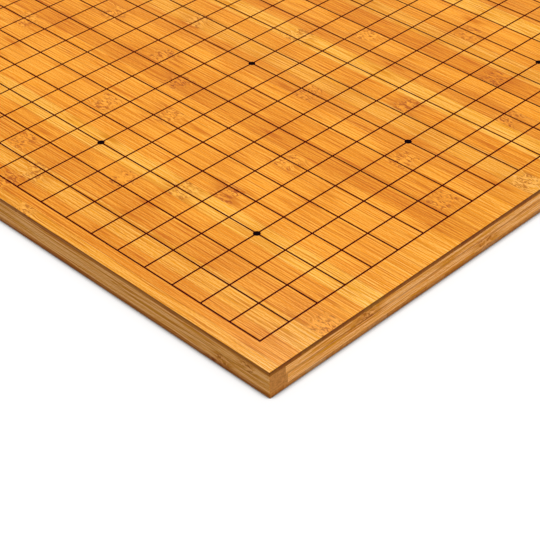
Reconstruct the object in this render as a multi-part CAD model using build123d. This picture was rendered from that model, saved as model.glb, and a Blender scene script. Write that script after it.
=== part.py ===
from build123d import *

import os

# A reversible go board: a flat slab of bamboo, glued up from strips in four layers, with a grid
# of 19 lines on the top face and one of 13 lines on the reverse. Millimetres. +Z is up, +X runs
# along the grain of both faces, and the origin is the middle of the face that lies on the table.

# The grids: a cell is longer along X than along Y, as on every go board
cell_length = 23.0  # from line to line along X
cell_width = 22.0  # from line to line along Y
top_lines = 19
reverse_lines = 13
star_inset = 3  # cells from the outermost line to the star points nearest the corners
star_diameter = 4.6
line_width = 1.1
groove_depth = 0.3  # every line and star point is cut this deep into its face
ink_thickness = 0.2  # the ink fills the bottom of the groove

# The board is as large as its top grid and the plain margin round it
margin_length = 21.5  # beyond the grid along X, at each end
margin_width = 14.5  # beyond the grid along Y, at each side

# The layers
face_thickness = 3.0  # the top and the reverse strips
core_layer_thickness = 6.0  # each of the two layers between them

# The face strips run along X, side by side along Y
strip_width = 16.35
top_first_strip_width = 7.2  # the strip along the front edge is trimmed
reverse_first_strip_width = 10.3
narrowest_strip = 2.0  # a last strip thinner than this stays part of the one beside it

# The core slats run along Y, side by side along X, and end at the edge rails
slat_width = 20.0
upper_first_slat_width = 18.5
lower_first_slat_width = 8.5
upper_rail_width = 12.0  # the rails run along X and close the slats' ends
lower_rail_width = 13.5

# The sanded edges of the slab
corner_round = 0.5  # the four upright corners
arris_round = 0.25  # the edges round both faces

board_length = (top_lines - 1) * cell_length + 2 * margin_length
board_width = (top_lines - 1) * cell_width + 2 * margin_width
board_thickness = 2 * face_thickness + 2 * core_layer_thickness

# Heights of the glue lines between the layers
reverse_glue = face_thickness
middle_glue = reverse_glue + core_layer_thickness
top_glue = middle_glue + core_layer_thickness


def sanded_slab():
    """The outside of the whole board, with its corners and arrises rounded."""
    block = extrude(RectangleRounded(board_length, board_width, corner_round), board_thickness)
    faces = block.faces().sort_by(Axis.Z)
    return fillet(faces[0].edges() + faces[-1].edges(), arris_round)


slab = sanded_slab()


def piece(x_span, y_span, z_span):
    """The piece of the slab that lies between three pairs of planes."""
    sizes = [high - low for low, high in (x_span, y_span, z_span)]
    middle = [(low + high) / 2 for low, high in (x_span, y_span, z_span)]
    return slab & (Pos(*middle) * Box(*sizes))


def spans(low, high, first, width):
    """Where a layer is divided: a first piece, whole widths, and a last piece with what is left."""
    places = [low, low + first]
    while high - places[-1] > width + narrowest_strip:
        places.append(places[-1] + width)
    places.append(high)
    return list(zip(places, places[1:]))


def line_places(lines, cell):
    """The middles of a grid's lines along one axis."""
    return [(i - (lines - 1) / 2) * cell for i in range(lines)]


def star_places(lines, beside_edges):
    """Star points near the corners and in the middle, and on a large grid beside each edge too."""
    steps = (star_inset, (lines - 1) // 2, lines - 1 - star_inset)
    x, y = line_places(lines, cell_length), line_places(lines, cell_width)
    middle = steps[1]
    return [
        (x[i], y[j])
        for i in steps
        for j in steps
        if beside_edges or (i == middle) == (j == middle)
    ]


def marks(lines, stars):
    """Each line and star point of a grid as a flat shape, with the span it covers along Y."""
    length = (lines - 1) * cell_length + line_width
    width = (lines - 1) * cell_width + line_width
    shapes = [
        (Pos(x, 0) * Rectangle(line_width, width), -width / 2, width / 2)
        for x in line_places(lines, cell_length)
    ]
    shapes += [
        (Pos(0, y) * Rectangle(length, line_width), y - line_width / 2, y + line_width / 2)
        for y in line_places(lines, cell_width)
    ]
    radius = star_diameter / 2
    shapes += [(Pos(x, y) * Circle(radius), y - radius, y + radius) for x, y in stars]
    return shapes


def face_strips(y_spans, z_span, grid, groove_floor, groove_mouth):
    """Strips side by side, each with the grooves of the lines and star points that cross it."""
    strips = []
    for low, high in y_spans:
        strip = piece((-board_length / 2, board_length / 2), (low, high), z_span)
        grooves = [
            Pos(0, 0, groove_floor) * extrude(shape, groove_mouth - groove_floor)
            for shape, first, last in grid
            if first < high and last > low
        ]
        strips.append(strip - grooves if grooves else strip)
    return strips


def ink(lines, stars, floor):
    """One grid's ink: a sheet with an opening for each cell, and a dot on each star point."""
    x, y = line_places(lines, cell_length), line_places(lines, cell_width)
    outline = Rectangle(x[-1] - x[0] + line_width, y[-1] - y[0] + line_width)
    openings = [
        Pos(left + cell_length / 2, front + cell_width / 2)
        * Rectangle(cell_length - line_width, cell_width - line_width)
        for left in x[:-1]
        for front in y[:-1]
    ]
    plan = Face(outline.wire(), [opening.wire() for opening in openings])
    dots = [Pos(*star) * Circle(star_diameter / 2) for star in stars]
    return Pos(0, 0, floor) * extrude(Sketch() + [plan] + dots, ink_thickness)


def core_slats(first_slat, rail_width, z_span):
    """One core layer's slats, which run between the front and the back rail."""
    end = board_width / 2 - rail_width
    across = spans(-board_length / 2, board_length / 2, first_slat, slat_width)
    return [piece(span, (-end, end), z_span) for span in across]


def edge_rails(side):
    """The two lamellae of one edge rail: side is -1 at the front edge and 1 at the back."""
    lamellae = []
    for rail_width, z_span in (
        (lower_rail_width, (reverse_glue, middle_glue)),
        (upper_rail_width, (middle_glue, top_glue)),
    ):
        y_span = sorted((side * board_width / 2, side * (board_width / 2 - rail_width)))
        lamellae.append(piece((-board_length / 2, board_length / 2), y_span, z_span))
    return lamellae


os.makedirs("parts", exist_ok=True)


def write(name, solids):
    """Writes one node of one or more separate solids."""
    export_step(Compound(children=solids) if len(solids) > 1 else solids[0], f"parts/{name}.step")


top_stars = star_places(top_lines, True)
top_strips = face_strips(
    spans(-board_width / 2, board_width / 2, top_first_strip_width, strip_width),
    (top_glue, board_thickness),
    marks(top_lines, top_stars),
    board_thickness - groove_depth,
    board_thickness + groove_depth,
)
for number, strip in enumerate(top_strips, 1):
    write(f"top_strip_{number:02d}", [strip])

reverse_stars = star_places(reverse_lines, False)
reverse_strips = face_strips(
    spans(-board_width / 2, board_width / 2, reverse_first_strip_width, strip_width),
    (0, reverse_glue),
    marks(reverse_lines, reverse_stars),
    -groove_depth,
    groove_depth,
)
for number, strip in enumerate(reverse_strips, 1):
    write(f"reverse_strip_{number:02d}", [strip])

write("grid_19_ink", [ink(top_lines, top_stars, board_thickness - groove_depth)])
write("grid_13_ink", [ink(reverse_lines, reverse_stars, groove_depth - ink_thickness)])

write(
    "upper_core_slats",
    core_slats(upper_first_slat_width, upper_rail_width, (middle_glue, top_glue)),
)
write(
    "lower_core_slats",
    core_slats(lower_first_slat_width, lower_rail_width, (reverse_glue, middle_glue)),
)
write("front_edge_rails", edge_rails(-1))
write("back_edge_rails", edge_rails(1))
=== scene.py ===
import math

import bpy
from mathutils import Matrix, Vector


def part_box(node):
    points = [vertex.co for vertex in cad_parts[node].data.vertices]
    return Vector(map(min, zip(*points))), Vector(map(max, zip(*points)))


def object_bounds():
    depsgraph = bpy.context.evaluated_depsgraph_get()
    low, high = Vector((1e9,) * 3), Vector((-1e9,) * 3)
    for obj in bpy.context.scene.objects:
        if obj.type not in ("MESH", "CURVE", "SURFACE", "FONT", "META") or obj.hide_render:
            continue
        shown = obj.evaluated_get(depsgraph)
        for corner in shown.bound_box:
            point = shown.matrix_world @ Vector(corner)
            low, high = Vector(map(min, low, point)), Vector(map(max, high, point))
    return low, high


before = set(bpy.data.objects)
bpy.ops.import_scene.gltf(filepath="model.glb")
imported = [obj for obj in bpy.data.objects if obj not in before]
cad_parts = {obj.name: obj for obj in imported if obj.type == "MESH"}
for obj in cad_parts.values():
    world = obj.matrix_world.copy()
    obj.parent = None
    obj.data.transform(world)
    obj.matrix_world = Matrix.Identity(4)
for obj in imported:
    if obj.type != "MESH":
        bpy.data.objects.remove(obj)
cad_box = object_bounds()

# Looks of a reversible go board: satin lacquered bamboo strips, cross-laid core slats that show on the
# sides, and dark ink in the grooves of both grids. Lengths are in metres where no unit is named.

MM = 0.001
BOARD_LOW, BOARD_HIGH = cad_box

# The board, in mm
HALF_LENGTH = (BOARD_HIGH.x - BOARD_LOW.x) / 2 / MM
HALF_WIDTH = (BOARD_HIGH.y - BOARD_LOW.y) / 2 / MM
THICKNESS = BOARD_HIGH.z / MM
FACE_THICKNESS = 3.0  # of the face strips
CORE_JOINT = THICKNESS / 2  # the height where the two layers of the core meet
ARRIS_REACH = 0.3  # from a face to just past its rounded edge
SIDE_DEPTH, END_DEPTH = 2, 1  # how far inside the outline the look of a side, and of a sawn end, begins

# The grids, in mm. Star points lie six cells apart, and in the middle
CELL_LENGTH, CELL_WIDTH = 23.0, 22.0
LINE_WIDTH, STAR_DIAMETER = 1.1, 4.6
STAR_CELLS = 6
GROOVE_REACH = 0.32  # from a face to just past a groove's floor
WALL_REACH = 0.05  # how far from a groove its wall still counts
STAIN_WIDTH = 0.25  # how far the ink has crept into the wood beside a line
STAR_FADE = 0.2  # from the rim of a star point to where its ink is full
TOP_GRID = {"Star Shift": 0, "Grid Half": 9, "Level": THICKNESS}
REVERSE_GRID = {"Star Shift": 3, "Grid Half": 6, "Level": 0.0}


def screen(red, green, blue):
    """A colour as it looks on a screen, 0 to 255, as the linear colour that a shader takes."""
    values = [c / 255 for c in (red, green, blue)]
    return [c / 12.92 if c <= 0.04045 else ((c + 0.055) / 1.055) ** 2.4 for c in values]


def times(colour, factors):
    """A colour with red, green and blue each multiplied by a factor."""
    return [c * f for c, f in zip(colour, factors)]


# The tones of the face strips, from the palest to the darkest, and of the core
TONES = {
    "pale": screen(254, 178, 50),
    "straw": screen(246, 166, 43),
    "honey": screen(251, 162, 33),
    "amber": screen(244, 154, 26),
    "copper": screen(238, 148, 25),
    "toffee": screen(233, 140, 14),
}
RAIL_TONE, SLAT_TONE = screen(230, 162, 81), screen(254, 178, 93)

# Factors for the red, green and blue of a tone
STRIP_CONTRAST = (1.04, 1.25, 3.7), (0.91, 0.81, 0.0)  # the palest wood of a strip, and the darkest
CORE_CONTRAST = (1.05, 1.25, 1.95), (0.89, 0.81, 0.5)  # and of a rail or slat
THREAD = (0.72, 0.53, 0.04)  # a thin dark fibre
KNUCKLE_SHADOW, KNUCKLE_MARK = (0.62, 0.46, 0.0), (0.44, 0.25, 0.0)
KNUCKLE_PALE = (1.05, 0.95, 0.76)  # against the palest wood
SEAM = (0.62, 0.48, 0.32)  # a glue line
STAIN = (0.84, 0.62, 0.44)  # the wood beside an inked line
PAINTED_SHEEN = (1.03, 1.11, 1.55)  # painted sheen: a paler, whitish veil that stands in for reflected light on a face strip near the ends of the board
TOP_END, REVERSE_END, CORE_END = (0.55, 0.48, 0.34), (0.84, 0.80, 1.0), (0.70, 0.61, 0.52)  # sawn ends
END_PALE, END_DARK, END_DOT = (1.16, 1.18, 1.25), (0.84, 0.82, 0.75), (0.6, 0.52, 0.45)  # against those
TOP_BAND = (0.36, 0.28, 0.16), (0.70, 0.64, 0.55)  # a top strip's side at the arris, and at the core
REVERSE_BAND = (0.50, 0.50, 1.5), (0.76, 0.82, 3.0)  # and a reverse strip's

INK, THIN_INK = screen(14, 6, 9), screen(56, 4, 6)
INK_CLOUD = (1.6, 1.8, 1.8)  # factors for its palest patches against its darkest
INK_ROUGHNESS = 0.6, 0.8  # in the darkest patches, and in the palest

# Layers of fibres: how long and how wide the fibres are, in mm, and how much they show
BROAD_LAYER = (300, 9, 0.42)
FINE_LAYERS = [(30, 1.0, 1.5), (20, 0.8, 1.55), (2.4, 0.7, 1.2)]
FINE_STEP = 0.8  # mm from a dark fine fibre to the pale one beside it
MIDDLE_SHADE = 0.54  # the shade of plain wood, from its palest at 0 to its darkest at 1

# The thin dark fibres, called threads here, lie where a noise is near its middle
THREAD_LENGTH, THREAD_WIDTH = 70, 1.0  # mm, of the noise
THREAD_EDGE, THREAD_FULL = 0.105, 0.01  # how near its middle it is where a thread begins, and is full
THREAD_STRENGTH = 1.05

# The knuckles
KNUCKLE_REACH, RAIL_KNUCKLE_REACH = 7.0, 4.0  # mm, half their length along the grain
KNUCKLE_WANDER = 14.0  # mm that a full swing of a noise moves one along the grain
KNUCKLE_BEND = 11.0  # mm that a full swing of a noise pushes the fibres aside
KNUCKLE_CALM = 0.6  # the share of the fibres' contrast that is lost inside one
PATCHES, PATCHES_LOST = 0.9, 0.5  # how strong its pale patches are, and what its darkness takes away
MARKS, MARKS_GAINED = 0.7, 0.25  # how strong its dark marks are, and what its darkness adds

# Sawn ends
BUNDLES_PER_MM = 0.7  # fibre bundles, along a row of them
DOT_STRENGTH = 0.5

# Painted sheen: face strips turn paler, standing in for reflected light, about so many mm from the
# ends of the board, over so many mm to both sides
SHEEN_REACH, SHEEN_BLEND = 24, 6

# Glue lines: how far one reaches to both sides, in mm, and how dark it is
STRIP_SEAM, RAIL_SEAM, SLAT_SEAM = (0.32, 0.5), (0.4, 0.35), (1.1, 0.75)
SLAT_SEAM_RISE = 0.5  # mm above the joint of the core

# The lacquer, and the relief of the fibres under it, which is 0.5 high and 0 along the threads
COAT, SIDE_COAT, COAT_ROUGHNESS = 0.09, 0.04, 0.14
SPECULAR = 0.04  # of the wood under the coat
ROUGHNESS = 0.5, 0.38  # of the wood, where the relief is 0.2 high or less, and where it would be 0.8
RELIEF_STRENGTH, RELIEF_DEPTH = 0.25, 0.05 * MM

# A piece's seed is its number added to one of these. It gives every piece wood of its own
TOP_SEED, REVERSE_SEED, RAIL_SEED, SLAT_SEED = 0, 40, 80, 90
SEED_STEP = 61.0, 17.0  # mm across the grain and up, from one seed's place in the noises to the next's

# The top strips from the front edge backwards: tone, how strong its dark streaks are, where its
# knuckles lie (one, in mm from the right end, and their spacing), and how dark they are
TOP_STRIPS = [
    ("straw", 0.8, 205, 270, 0.3),
    ("copper", 0.9, 240, 255, 0.4),
    ("straw", 0.9, 232, 290, 0.3),
    ("copper", 1.0, 4, 262, 0.1),
    ("amber", 0.9, 188, 240, 0.3),
    ("pale", 0.6, 152, 250, 0.55),
    ("honey", 0.9, 132, 275, 0.95),
    ("honey", 0.7, 262, 300, 0.4),
    ("honey", 0.8, 221, 265, 0.3),
    ("honey", 0.9, 129, 258, 0.4),
    ("toffee", 1.4, 246, 280, 0.5),
    ("amber", 0.9, 34, 245, 0.4),
    ("honey", 0.9, 78, 270, 0.5),
    ("copper", 0.9, 176, 255, 0.4),
    ("straw", 0.7, 12, 285, 0.3),
    ("amber", 1.1, 118, 262, 0.7),
    ("pale", 0.7, 232, 240, 0.3),
    ("copper", 1.0, 62, 268, 0.4),
    ("honey", 0.9, 199, 252, 0.4),
    ("toffee", 1.2, 98, 290, 0.6),
    ("straw", 0.8, 20, 244, 0.3),
    ("amber", 1.0, 150, 272, 0.5),
    ("honey", 0.8, 253, 260, 0.4),
    ("pale", 0.8, 84, 250, 0.4),
    ("copper", 1.2, 208, 282, 0.5),
    ("amber", 0.9, 41, 256, 0.3),
    ("straw", 0.8, 140, 266, 0.4),
]

# The reverse takes the same rows in another order, counting round them in strides from a start, with
# its knuckles so many mm further from the right end
REVERSE_STRIDE, REVERSE_START, REVERSE_MOVE = 11, 17, 57

# The core: how strong the dark streaks are, and where the knuckles lie, in mm. A rail's are counted from
# the right end, and a slat's from the front edge
RAIL_STREAKS, SLAT_STREAKS = 1.0, 1.4
UPPER_RAIL_KNUCKLE, LOWER_RAIL_KNUCKLE, RAIL_SPACING = 18, 36, 250
UPPER_SLAT_KNUCKLE, LOWER_SLAT_KNUCKLE, SLAT_SPACING = 73, 176, 240
CORE_DARKNESS = 0.9


def join(tree, socket, value):
    """Puts a value, or another node's output, into a socket."""
    if isinstance(value, bpy.types.NodeSocket):
        tree.links.new(value, socket)
    elif isinstance(value, (list, tuple)) and len(socket.default_value) == 4:
        socket.default_value = (*value, 1)
    else:
        socket.default_value = value


def add(tree, kind, inputs, **settings):
    """Adds a node, with inputs by name or number, and returns it."""
    made = tree.nodes.new("ShaderNode" + kind)
    for name, value in settings.items():
        setattr(made, name, value)
    for key, value in inputs.items():
        join(tree, made.inputs[key], value)
    return made


def math_of(tree, operation, *values, clamp=False):
    """The result of a math node. MULTIPLY_ADD is the first value times the second, plus the third. WRAP
    brings the first between the third and the second by whole rounds."""
    inputs = dict(enumerate(values))
    return add(tree, "Math", inputs, operation=operation, use_clamp=clamp).outputs[0]


def product(tree, *values):
    """All the values multiplied."""
    result = values[0]
    for value in values[1:]:
        result = math_of(tree, "MULTIPLY", result, value)
    return result


def gap(tree, value, middle):
    """How far a value is from a middle, on either side of it."""
    return math_of(tree, "ABSOLUTE", math_of(tree, "SUBTRACT", value, middle))


def vector_of(tree, operation, *values):
    """The result of a vector math node."""
    return add(tree, "VectorMath", dict(enumerate(values)), operation=operation).outputs[0]


def ramp(tree, value, low, high, start=0.0, end=1.0):
    """Start where value is low, end where it is high, with a smooth step between."""
    inputs = {"Value": value, "From Min": low, "From Max": high, "To Min": start, "To Max": end}
    return add(tree, "MapRange", inputs, interpolation_type="SMOOTHSTEP").outputs[0]


def noise(tree, position, size, detail=0.0, roughness=0.5, distortion=0.0):
    """Noise, 0 to 1, whose features have a size along each axis, in the unit of the position."""
    scaled = vector_of(tree, "MULTIPLY", position, [1 / s for s in size])
    inputs = {"Vector": scaled, "Scale": 1.0, "Detail": detail, "Roughness": roughness}
    inputs["Distortion"] = distortion
    return add(tree, "TexNoise", inputs).outputs["Fac"]


def mixed(tree, factor, first, second, blend="MIX"):
    """The first colour where the factor is 0, and the second, or the blend of both, where it is 1."""
    made = tree.nodes.new("ShaderNodeMix")
    made.data_type, made.blend_type = "RGBA", blend
    for socket, value in zip((made.inputs[0], made.inputs[6], made.inputs[7]), (factor, first, second)):
        join(tree, socket, value)
    return made.outputs[2]


def toned(tree, mask, colour, factors):
    """A colour, with red, green and blue each multiplied by a factor where the mask is 1."""
    return mixed(tree, mask, colour, mixed(tree, 1.0, colour, factors, "MULTIPLY"))


def facing(tree, axis):
    """How squarely a surface faces along an axis, either way: 1 if square to it, 0 if alongside."""
    normal = add(tree, "NewGeometry", {}).outputs["Normal"]
    return math_of(tree, "ABSOLUTE", add(tree, "SeparateXYZ", {0: normal}).outputs[axis])


def upright(tree):
    """1 on upright surfaces and 0 on level ones, with a smooth step on a rounded edge between them."""
    return ramp(tree, facing(tree, "Z"), 0.85, 0.35)


def facing_end(tree):
    """1 on surfaces that face along X, where strips and rails are sawn off."""
    return ramp(tree, facing(tree, "X"), 0.5, 0.8)


def beyond(tree, coordinate, edge, soft=0.12):
    """1 where a coordinate in mm lies further from the middle than an edge, with a smooth step there."""
    return ramp(tree, math_of(tree, "ABSOLUTE", coordinate), edge - soft, edge + soft)


def group(name, inputs, outputs):
    """A new node group with named sockets: its tree, its input node and its output node."""
    tree = bpy.data.node_groups.new(name, "ShaderNodeTree")
    for direction, sockets in (("INPUT", inputs), ("OUTPUT", outputs)):
        for socket, kind in sockets.items():
            tree.interface.new_socket(socket, in_out=direction, socket_type="NodeSocket" + kind)
    return tree, tree.nodes.new("NodeGroupInput"), tree.nodes.new("NodeGroupOutput")


def place(tree, node_group, inputs):
    """Places a node group in a tree and returns its outputs."""
    made = tree.nodes.new("ShaderNodeGroup")
    made.node_tree = node_group
    for name, value in inputs.items():
        join(tree, made.inputs[name], value)
    return made.outputs


def fibre_group():
    """Bamboo fibres along X, in mm. Shade is a sum of noises drawn out along the grain, about -0.5 to 0.5,
    times Streaks. A fine layer is a noise less the same noise one step across the grain, so that a pale
    fibre lies beside each dark one. Threads is 1 on a thin dark fibre, where another drawn-out noise
    crosses its middle, and Height is 0.5 less half of Threads."""
    tree, given, out = group(
        "fibres",
        {"Position": "Vector", "Streaks": "Float"},
        {"Shade": "Float", "Threads": "Float", "Height": "Float"},
    )
    position = given.outputs["Position"]
    turned = upright(tree)
    step = {
        "Y": math_of(tree, "MULTIPLY_ADD", turned, -FINE_STEP, FINE_STEP),
        "Z": product(tree, turned, FINE_STEP),
    }
    beside = vector_of(tree, "ADD", position, add(tree, "CombineXYZ", step).outputs[0])

    length, width, weight = BROAD_LAYER
    broad = noise(tree, position, (length, width, width))
    shade = product(tree, math_of(tree, "SUBTRACT", broad, 0.5), weight)
    for length, width, weight in FINE_LAYERS:
        here, there = (noise(tree, p, (length, width, width)) for p in (position, beside))
        shade = math_of(tree, "MULTIPLY_ADD", math_of(tree, "SUBTRACT", here, there), weight, shade)
    join(tree, out.inputs["Shade"], product(tree, shade, given.outputs["Streaks"]))

    drawn_out = noise(tree, position, (THREAD_LENGTH, THREAD_WIDTH, THREAD_WIDTH))
    threads = ramp(tree, gap(tree, drawn_out, 0.5), THREAD_EDGE, THREAD_FULL)
    join(tree, out.inputs["Threads"], threads)
    join(tree, out.inputs["Height"], math_of(tree, "MULTIPLY_ADD", threads, -0.5, 0.5))
    return tree


def knuckle_group():
    """Knuckles across a strip, at Place along X and then again at each Spacing, in mm, wandering a little.
    Reach counts half lengths from a knuckle's middle. Mask is 1 inside a knuckle and falls away round a
    reach of 1. Marks are its crinkled dark spots, where one noise is high, and Patches its pale ones, where
    the same noise is low. Smudge is the clouded shadow that it draws out along the fibres, to a reach of 3,
    and Bend how far, in mm, fibres are pushed aside: a noise less its middle, up to a reach of 1.8."""
    tree, given, out = group(
        "knuckles",
        {"Position": "Vector", "Place": "Float", "Spacing": "Float", "Half Length": "Float"},
        {"Mask": "Float", "Marks": "Float", "Patches": "Float", "Smudge": "Float", "Bend": "Float"},
    )
    position = given.outputs["Position"]
    wander = math_of(tree, "SUBTRACT", noise(tree, position, (60, 6, 6), detail=1.0), 0.5)
    axes = add(tree, "SeparateXYZ", {0: position}).outputs
    along = math_of(tree, "SUBTRACT", axes["X"], given.outputs["Place"])
    along = math_of(tree, "MULTIPLY_ADD", wander, KNUCKLE_WANDER, along)
    half = product(tree, given.outputs["Spacing"], 0.5)
    along = math_of(tree, "WRAP", along, half, product(tree, half, -1.0))
    reach = math_of(tree, "DIVIDE", math_of(tree, "ABSOLUTE", along), given.outputs["Half Length"])

    mask = ramp(tree, reach, 1.2, 0.7)
    figure = noise(tree, position, (11, 5.0, 5.0), detail=1.0, distortion=0.6)
    crinkle = noise(tree, position, (5.0, 1.9, 1.9), detail=1.5, roughness=0.6, distortion=1.4)
    cloud = noise(tree, position, (14, 2.6, 2.6), detail=1.0)
    smudge = product(tree, ramp(tree, reach, 3.0, 0.4), ramp(tree, cloud, 0.34, 0.54))
    swing = math_of(tree, "SUBTRACT", figure, 0.5)
    join(tree, out.inputs["Mask"], mask)
    join(tree, out.inputs["Marks"], product(tree, ramp(tree, crinkle, 0.52, 0.59), mask))
    join(tree, out.inputs["Patches"], product(tree, ramp(tree, crinkle, 0.48, 0.38), mask))
    join(tree, out.inputs["Smudge"], smudge)
    join(tree, out.inputs["Bend"], product(tree, swing, ramp(tree, reach, 1.8, 0.6), KNUCKLE_BEND))
    return tree


def end_grain_group():
    """Sawn ends of bamboo. Position is in mm, with Y and Z across the fibres. Dots is 1 on the fibre
    bundles, round the points of a cell pattern, and Ground a noise in the paler wood between them."""
    tree, given, out = group("end grain", {"Position": "Vector"}, {"Dots": "Float", "Ground": "Float"})
    flat = vector_of(tree, "MULTIPLY", given.outputs["Position"], (0, 1, 1))
    cells = add(tree, "TexVoronoi", {"Vector": flat, "Scale": BUNDLES_PER_MM, "Randomness": 0.9})
    join(tree, out.inputs["Dots"], ramp(tree, cells.outputs["Distance"], 0.45, 0.2))
    ground = noise(tree, flat, (1, 3.5, 1.1), detail=2.0, roughness=0.6)
    join(tree, out.inputs["Ground"], ramp(tree, ground, 0.3, 0.7))
    return tree


def groove_group():
    """The ink at the grooves of a face at Level, whose grid reaches Grid Half cells from the middle, with
    its star points moved by Star Shift cells. Walls is 1 on the grooves' upright walls, which the ink has
    soaked, Stain fades from 1 to 0 beside their mouths, and Stars is 1 on the star points. All come from
    the distances to the nearest line and to the nearest star point. Position is in mm."""
    tree, given, out = group(
        "grooves",
        {"Position": "Vector", "Star Shift": "Float", "Grid Half": "Float", "Level": "Float"},
        {"Walls": "Float", "Stain": "Float", "Stars": "Float"},
    )
    axes = add(tree, "SeparateXYZ", {0: given.outputs["Position"]}).outputs
    half_line, half_star = LINE_WIDTH / 2, STAR_DIAMETER / 2

    def off(axis, cell, cells=1, shift=0.0):
        """How far away, along an axis, is the nearest of a row whose members lie so many cells apart."""
        moved = math_of(tree, "MULTIPLY_ADD", shift, cell, axes[axis])
        return math_of(tree, "ABSOLUTE", math_of(tree, "WRAP", moved, cells * cell / 2, -cells * cell / 2))

    def distance(x, y):
        """The straight distance of a place that is x and y away."""
        flat = add(tree, "CombineXYZ", {0: x, 1: y}).outputs[0]
        return add(tree, "VectorMath", {0: flat}, operation="LENGTH").outputs["Value"]

    line = math_of(tree, "MINIMUM", off("X", CELL_LENGTH), off("Y", CELL_WIDTH))
    shift = given.outputs["Star Shift"]
    star = distance(off("X", CELL_LENGTH, STAR_CELLS, shift), off("Y", CELL_WIDTH, STAR_CELLS, shift))
    star = math_of(tree, "MINIMUM", star, distance(axes["X"], axes["Y"]))

    inside = math_of(tree, "LESS_THAN", gap(tree, axes["Z"], given.outputs["Level"]), GROOVE_REACH)
    for axis, cell in (("X", CELL_LENGTH), ("Y", CELL_WIDTH)):
        half = math_of(tree, "MULTIPLY_ADD", given.outputs["Grid Half"], cell, half_line + STAIN_WIDTH)
        within = math_of(tree, "LESS_THAN", math_of(tree, "ABSOLUTE", axes[axis]), half)
        inside = product(tree, inside, within)

    walls = math_of(
        tree,
        "MAXIMUM",
        math_of(tree, "LESS_THAN", line, half_line + WALL_REACH),
        math_of(tree, "LESS_THAN", star, half_star + WALL_REACH),
    )
    stain = math_of(
        tree,
        "MAXIMUM",
        ramp(tree, line, half_line + STAIN_WIDTH, half_line),
        ramp(tree, star, half_star + STAIN_WIDTH, half_star),
    )
    join(tree, out.inputs["Walls"], product(tree, walls, inside, upright(tree)))
    join(tree, out.inputs["Stain"], product(tree, stain, inside))
    join(tree, out.inputs["Stars"], ramp(tree, star, half_star, half_star - STAR_FADE))
    return tree


FIBRES = fibre_group()
KNUCKLES = knuckle_group()
END_GRAIN = end_grain_group()
GROOVES = groove_group()


def new_material(name):
    """A new material, its tree and its Principled BSDF."""
    material = bpy.data.materials.new(name)
    material.use_nodes = True
    tree = material.node_tree
    return material, tree, tree.nodes["Principled BSDF"]


def position_in_mm(tree):
    """Object coordinates in mm."""
    inputs = {0: add(tree, "TexCoord", {}).outputs["Object"], "Scale": 1 / MM}
    return add(tree, "VectorMath", inputs, operation="SCALE").outputs[0]


def grain_position(tree, axes, seed, along_y):
    """A position, given by its axes, with X along the grain and moved far across it by the seed."""
    along, across = (axes["Y"], axes["X"]) if along_y else (axes["X"], axes["Y"])
    across, depth = (math_of(tree, "ADD", a, seed * s) for a, s in zip((across, axes["Z"]), SEED_STEP))
    return add(tree, "CombineXYZ", {0: along, 1: across, 2: depth}).outputs[0]


def long_grain(tree, grain, tone, contrast, streaks, knuckle):
    """The colour of wood along its grain, and the height of its relief. It runs from the palest wood to the
    darkest with the fibres' shade. Over that lie the threads, and the knuckles' smudge, pale patches and
    dark marks. The darker the knuckles, the fainter their patches and the stronger their marks."""
    first, spacing, darkness, reach = knuckle
    inputs = {"Position": grain, "Place": first, "Spacing": spacing, "Half Length": reach}
    knots = place(tree, KNUCKLES, inputs)
    bend = add(tree, "CombineXYZ", {"Y": knots["Bend"]}).outputs[0]
    fibres = place(tree, FIBRES, {"Position": vector_of(tree, "ADD", grain, bend), "Streaks": streaks})
    palest, darkest = (times(tone, factors) for factors in contrast)

    calm = math_of(tree, "MULTIPLY_ADD", knots["Mask"], -KNUCKLE_CALM, 1.0)
    shade = math_of(tree, "MULTIPLY_ADD", fibres["Shade"], calm, MIDDLE_SHADE, clamp=True)
    colour = mixed(tree, shade, palest, darkest)
    colour = toned(tree, product(tree, fibres["Threads"], calm, THREAD_STRENGTH), colour, THREAD)
    for mask, strength, layer in (
        (knots["Smudge"], darkness, times(tone, KNUCKLE_SHADOW)),
        (knots["Patches"], PATCHES - PATCHES_LOST * darkness, times(palest, KNUCKLE_PALE)),
        (knots["Marks"], MARKS + MARKS_GAINED * darkness, times(tone, KNUCKLE_MARK)),
    ):
        colour = mixed(tree, product(tree, mask, strength), colour, layer)
    return colour, fibres["Height"]


def sawn_end(tree, grain, ground):
    """The colour of a sawn end: a clouded ground, with darker dots on the fibre bundles."""
    sawn = place(tree, END_GRAIN, {"Position": grain})
    colour = mixed(tree, sawn["Ground"], times(ground, END_PALE), times(ground, END_DARK))
    return mixed(tree, product(tree, sawn["Dots"], DOT_STRENGTH), colour, times(ground, END_DOT))


def side_band(tree, axes, colour, outer, inner, band):
    """A colour, toned on the board's sides by the band's first factors at the outer height of a face
    strip, and by its second ones at the inner height."""
    factors = mixed(tree, ramp(tree, axes["Z"], outer, inner), *band)
    past_front = beyond(tree, axes["Y"], HALF_WIDTH - SIDE_DEPTH)
    past_end = beyond(tree, axes["X"], HALF_LENGTH - SIDE_DEPTH)
    outside = math_of(tree, "MAXIMUM", past_front, past_end)
    return toned(tree, product(tree, outside, upright(tree)), colour, factors)


def lacquer(tree, shader, height):
    """Satin lacquer over wood: a thin clear coat, thinner on the sides, and the relief of the fibres."""
    relief = {"Strength": RELIEF_STRENGTH, "Distance": RELIEF_DEPTH, "Height": height}
    join(tree, shader.inputs["Normal"], add(tree, "Bump", relief).outputs[0])
    join(tree, shader.inputs["Roughness"], ramp(tree, height, 0.2, 0.8, *ROUGHNESS))
    coat = math_of(tree, "MULTIPLY_ADD", upright(tree), SIDE_COAT - COAT, COAT)
    join(tree, shader.inputs["Coat Weight"], coat)
    shader.inputs["Coat Roughness"].default_value = COAT_ROUGHNESS
    shader.inputs["Specular IOR Level"].default_value = SPECULAR


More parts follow.
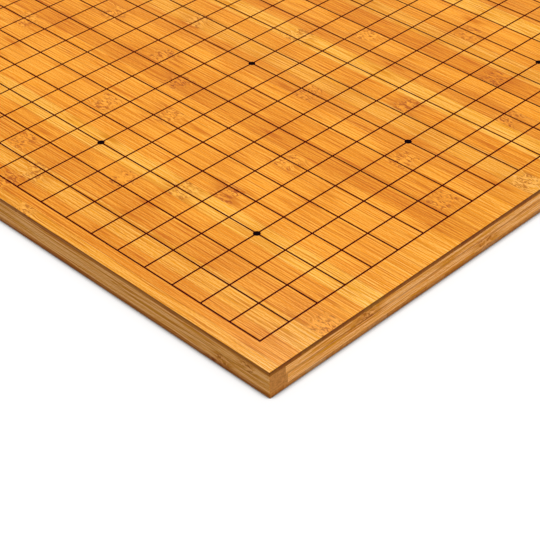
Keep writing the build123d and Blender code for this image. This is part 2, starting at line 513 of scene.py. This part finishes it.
def bamboo(
    name,
    tone,
    seed,
    streaks,
    knuckle,
    seams,
    contrast=STRIP_CONTRAST,
    along_y=False,
    end=CORE_END,
    side=None,
    grid=None,
    lower_move=0,
):
    """Lacquered bamboo of one piece. Its knuckles have a place along the grain, a spacing, a darkness and
    half their length, and below the joint of the core they are moved by lower_move. A seam has an axis, a
    place on it, a reach and a darkness. A face strip has a grid, which puts ink in and beside its grooves,
    and it gets a painted sheen, a paler whitish veil that stands in for reflected light, near the ends of
    the board. Grain along Y has its sawn ends out of sight. Lengths are in mm."""
    material, tree, shader = new_material(name)
    position = position_in_mm(tree)
    axes = add(tree, "SeparateXYZ", {0: position}).outputs
    grain = grain_position(tree, axes, seed, along_y)
    if lower_move:
        first, *others = knuckle
        below = math_of(tree, "LESS_THAN", axes["Z"], CORE_JOINT)
        knuckle = (math_of(tree, "MULTIPLY_ADD", below, lower_move, first), *others)
    colour, height = long_grain(tree, grain, tone, contrast, streaks, knuckle)
    if grid:
        # Painted sheen: a paler, whitish veil near both ends of the board stands in for reflected light
        sheen_mask = beyond(tree, axes["X"], HALF_LENGTH - SHEEN_REACH, SHEEN_BLEND)
        colour = toned(tree, sheen_mask, colour, PAINTED_SHEEN)
    if not along_y:
        at_end = product(tree, beyond(tree, axes["X"], HALF_LENGTH - END_DEPTH), facing_end(tree))
        colour = mixed(tree, at_end, colour, sawn_end(tree, grain, times(tone, end)))
    for axis, where, reach, strength in seams:
        seam = product(tree, ramp(tree, gap(tree, axes[axis], where), reach, reach / 3), strength)
        colour = toned(tree, seam, colour, SEAM)
    if side:
        colour = side_band(tree, axes, colour, *side)
    if grid:
        ink = place(tree, GROOVES, {"Position": position, **grid})
        colour = toned(tree, ink["Stain"], colour, STAIN)
        colour = mixed(tree, ink["Walls"], colour, INK)
    join(tree, shader.inputs["Base Color"], colour)
    lacquer(tree, shader, height)
    return material


def ink_material(name, star_shift):
    """Matt ink, a little uneven: thin and reddish in the lines, and full in the star points."""
    material, tree, shader = new_material(name)
    position = position_in_mm(tree)
    cloud = noise(tree, position, (2.5, 2.5, 2.5), detail=2.0)
    thin, full = (mixed(tree, cloud, ink, times(ink, INK_CLOUD)) for ink in (THIN_INK, INK))
    stars = place(tree, GROOVES, {"Position": position, "Star Shift": star_shift})["Stars"]
    join(tree, shader.inputs["Base Color"], mixed(tree, stars, thin, full))
    join(tree, shader.inputs["Roughness"], ramp(tree, cloud, 0.3, 0.7, *INK_ROUGHNESS))
    shader.inputs["Specular IOR Level"].default_value = 0.0
    return material


def dress(node, material):
    """Gives a node its material."""
    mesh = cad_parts[node].data
    mesh.materials.clear()
    mesh.materials.append(material)


def dress_strip(face, number, seed, strip, move, **looks):
    """Dresses a face strip as a row of TOP_STRIPS says, with its knuckles moved by so many mm."""
    node = f"{face}_strip_{number:02d}"
    tone, streaks, from_end, spacing, darkness = strip
    low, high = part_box(node)
    made = bamboo(
        f"{face} strip {number:02d} bamboo",
        TONES[tone],
        seed,
        streaks,
        knuckle=(HALF_LENGTH - (from_end + move), spacing, darkness, KNUCKLE_REACH),
        seams=[("Y", y / MM, *STRIP_SEAM) for y in (low.y, high.y)],
        **looks,
    )
    dress(node, made)


def dress_strips():
    """Dresses the top strips, and then those of the reverse."""
    top = {
        "end": TOP_END,
        "side": (THICKNESS - ARRIS_REACH, THICKNESS - FACE_THICKNESS, TOP_BAND),
        "grid": TOP_GRID,
    }
    for number, strip in enumerate(TOP_STRIPS, 1):
        dress_strip("top", number, TOP_SEED + number, strip, 0, **top)
    reverse = {
        "end": REVERSE_END,
        "side": (ARRIS_REACH, FACE_THICKNESS, REVERSE_BAND),
        "grid": REVERSE_GRID,
    }
    for number in range(1, len(TOP_STRIPS) + 1):
        strip = TOP_STRIPS[(number * REVERSE_STRIDE + REVERSE_START) % len(TOP_STRIPS)]
        dress_strip("reverse", number, REVERSE_SEED + number, strip, REVERSE_MOVE, **reverse)


def dress_core():
    """Dresses the rails, whose two lamellae have their knuckles in different places, and the slats. Both
    have the joint between the core's layers as a seam."""
    for seed, node in enumerate(("front_edge_rails", "back_edge_rails"), RAIL_SEED):
        made = bamboo(
            f"{node} bamboo",
            RAIL_TONE,
            seed,
            RAIL_STREAKS,
            knuckle=(HALF_LENGTH - UPPER_RAIL_KNUCKLE, RAIL_SPACING, CORE_DARKNESS, RAIL_KNUCKLE_REACH),
            seams=[("Z", CORE_JOINT, *RAIL_SEAM)],
            contrast=CORE_CONTRAST,
            lower_move=UPPER_RAIL_KNUCKLE - LOWER_RAIL_KNUCKLE,
        )
        dress(node, made)
    slats = ("upper_core_slats", UPPER_SLAT_KNUCKLE), ("lower_core_slats", LOWER_SLAT_KNUCKLE)
    for seed, (node, from_front) in enumerate(slats, SLAT_SEED):
        made = bamboo(
            f"{node} bamboo",
            SLAT_TONE,
            seed,
            SLAT_STREAKS,
            knuckle=(from_front - HALF_WIDTH, SLAT_SPACING, CORE_DARKNESS, KNUCKLE_REACH),
            seams=[("Z", CORE_JOINT + SLAT_SEAM_RISE, *SLAT_SEAM)],
            contrast=CORE_CONTRAST,
            along_y=True,
        )
        dress(node, made)


def dress_ink():
    """Dresses the ink of both grids."""
    dress("grid_19_ink", ink_material("large grid ink", TOP_GRID["Star Shift"]))
    dress("grid_13_ink", ink_material("small grid ink", REVERSE_GRID["Star Shift"]))


# The studio
FLOOR_HALF = 8.0
FLOOR_GAP = 0.1 * MM  # the floor lies just under the board
FLOOR_TONE = (0.25, 0.25, 0.25)
FLOOR_GLOW = 0.84  # what the camera sees of the floor besides its lit tone
FLOOR_FILL = 0.42  # how much light it throws up at the board besides, as a lit table does
SHADE_REACH = 6 * MM  # how far from the board its close shade can lie
SHADE_FULL, SHADE_END = 0.5, 0.82  # how open the sky is where that shade is full, and where it ends
WORLD_LIGHT = 0.27

# The lights: where each comes from, how bright it makes a white surface, and how many degrees wide it is
LIGHTS = [
    ("back light", (-0.445, 0.445, 0.777), 0.51, 20),
    ("top light", (0.20, -0.20, 0.96), 0.27, 80),
    ("right light", (0.80, -0.10, 0.59), 0.25, 70),
]

# The camera stands off the board's near corner. Its lens is in mm and its angles are in degrees
CAMERA_PLACE = Vector((0.67503, -0.64659, 0.56842))
CAMERA_AZIMUTH, CAMERA_ELEVATION, CAMERA_ROLL = 45.674, 37.816, -1.2345
CAMERA_LENS, CAMERA_SENSOR = 107.36, 36


def seen_directly(tree):
    """1 on rays that show a background: from the camera, a reflection or through glass."""
    path = add(tree, "LightPath", {}).outputs
    shiny = math_of(tree, "MAXIMUM", path["Is Glossy Ray"], path["Is Transmission Ray"])
    return math_of(tree, "MAXIMUM", path["Is Camera Ray"], shiny)


def make_floor():
    """A floor that looks white. Where it is seen directly it glows with the root of how open the sky is,
    which leaves a narrow shade round the board."""
    mesh = bpy.data.meshes.new("floor")
    corners = [(-1, -1), (1, -1), (1, 1), (-1, 1)]
    mesh.from_pydata([(x * FLOOR_HALF, y * FLOOR_HALF, -FLOOR_GAP) for x, y in corners], [], [(0, 1, 2, 3)])
    floor = bpy.data.objects.new("floor", mesh)
    bpy.context.scene.collection.objects.link(floor)
    material, tree, shader = new_material("white floor")
    shader.inputs["Base Color"].default_value = (*FLOOR_TONE, 1)
    shader.inputs["Roughness"].default_value = 1.0
    shader.inputs["Specular IOR Level"].default_value = 0.0
    shader.inputs["Emission Color"].default_value = (1, 1, 1, 1)
    sky = add(tree, "AmbientOcclusion", {"Distance": SHADE_REACH}, samples=16, only_local=False)
    sky = add(tree, "MapRange", {0: sky.outputs["AO"], 1: SHADE_FULL, 2: SHADE_END}).outputs[0]
    seen = seen_directly(tree)
    glow = product(tree, seen, product(tree, math_of(tree, "POWER", sky, 0.5), FLOOR_GLOW))
    glow = math_of(tree, "MULTIPLY_ADD", math_of(tree, "SUBTRACT", 1.0, seen), FLOOR_FILL, glow)
    join(tree, shader.inputs["Emission Strength"], glow)
    mesh.materials.append(material)


def make_world():
    """A world that is white where it is seen directly, and lights the board by WORLD_LIGHT."""
    world = bpy.data.worlds.new("studio")
    bpy.context.scene.world = world
    world.use_nodes = True
    tree = world.node_tree
    background = tree.nodes["Background"]
    background.inputs["Color"].default_value = (1, 1, 1, 1)
    strength = math_of(tree, "MULTIPLY_ADD", seen_directly(tree), 1 - WORLD_LIGHT, WORLD_LIGHT)
    join(tree, background.inputs["Strength"], strength)


def make_lights():
    """Wide soft lights. A sun of strength pi makes a white surface square to it as bright as 1."""
    for name, towards, level, width in LIGHTS:
        lamp = bpy.data.lights.new(name, "SUN")
        lamp.energy = level * math.pi
        lamp.angle = math.radians(width)
        made = bpy.data.objects.new(name, lamp)
        made.rotation_mode = "QUATERNION"
        made.rotation_quaternion = Vector(towards).to_track_quat("Z", "Y")
        bpy.context.scene.collection.objects.link(made)


def make_camera():
    """A camera that looks back along its azimuth and elevation, rolled about its own line of sight."""
    data = bpy.data.cameras.new("camera")
    data.lens, data.sensor_width = CAMERA_LENS, CAMERA_SENSOR
    camera = bpy.data.objects.new("camera", data)
    a, e, r = (math.radians(d) for d in (CAMERA_AZIMUTH, CAMERA_ELEVATION, CAMERA_ROLL))
    back = Vector((math.sin(a) * math.cos(e), -math.cos(a) * math.cos(e), math.sin(e)))
    level = Vector((math.cos(a), math.sin(a), 0))
    raised = back.cross(level)
    right = level * math.cos(r) + raised * math.sin(r)
    up = raised * math.cos(r) - level * math.sin(r)
    turned = Matrix((right, up, back)).transposed().to_4x4()
    camera.matrix_world = Matrix.Translation(CAMERA_PLACE) @ turned
    bpy.context.scene.collection.objects.link(camera)
    bpy.context.scene.camera = camera


make_camera()
make_world()
make_floor()
make_lights()
dress_strips()
dress_core()
dress_ink()
bpy.context.scene.view_settings.view_transform = "Standard"
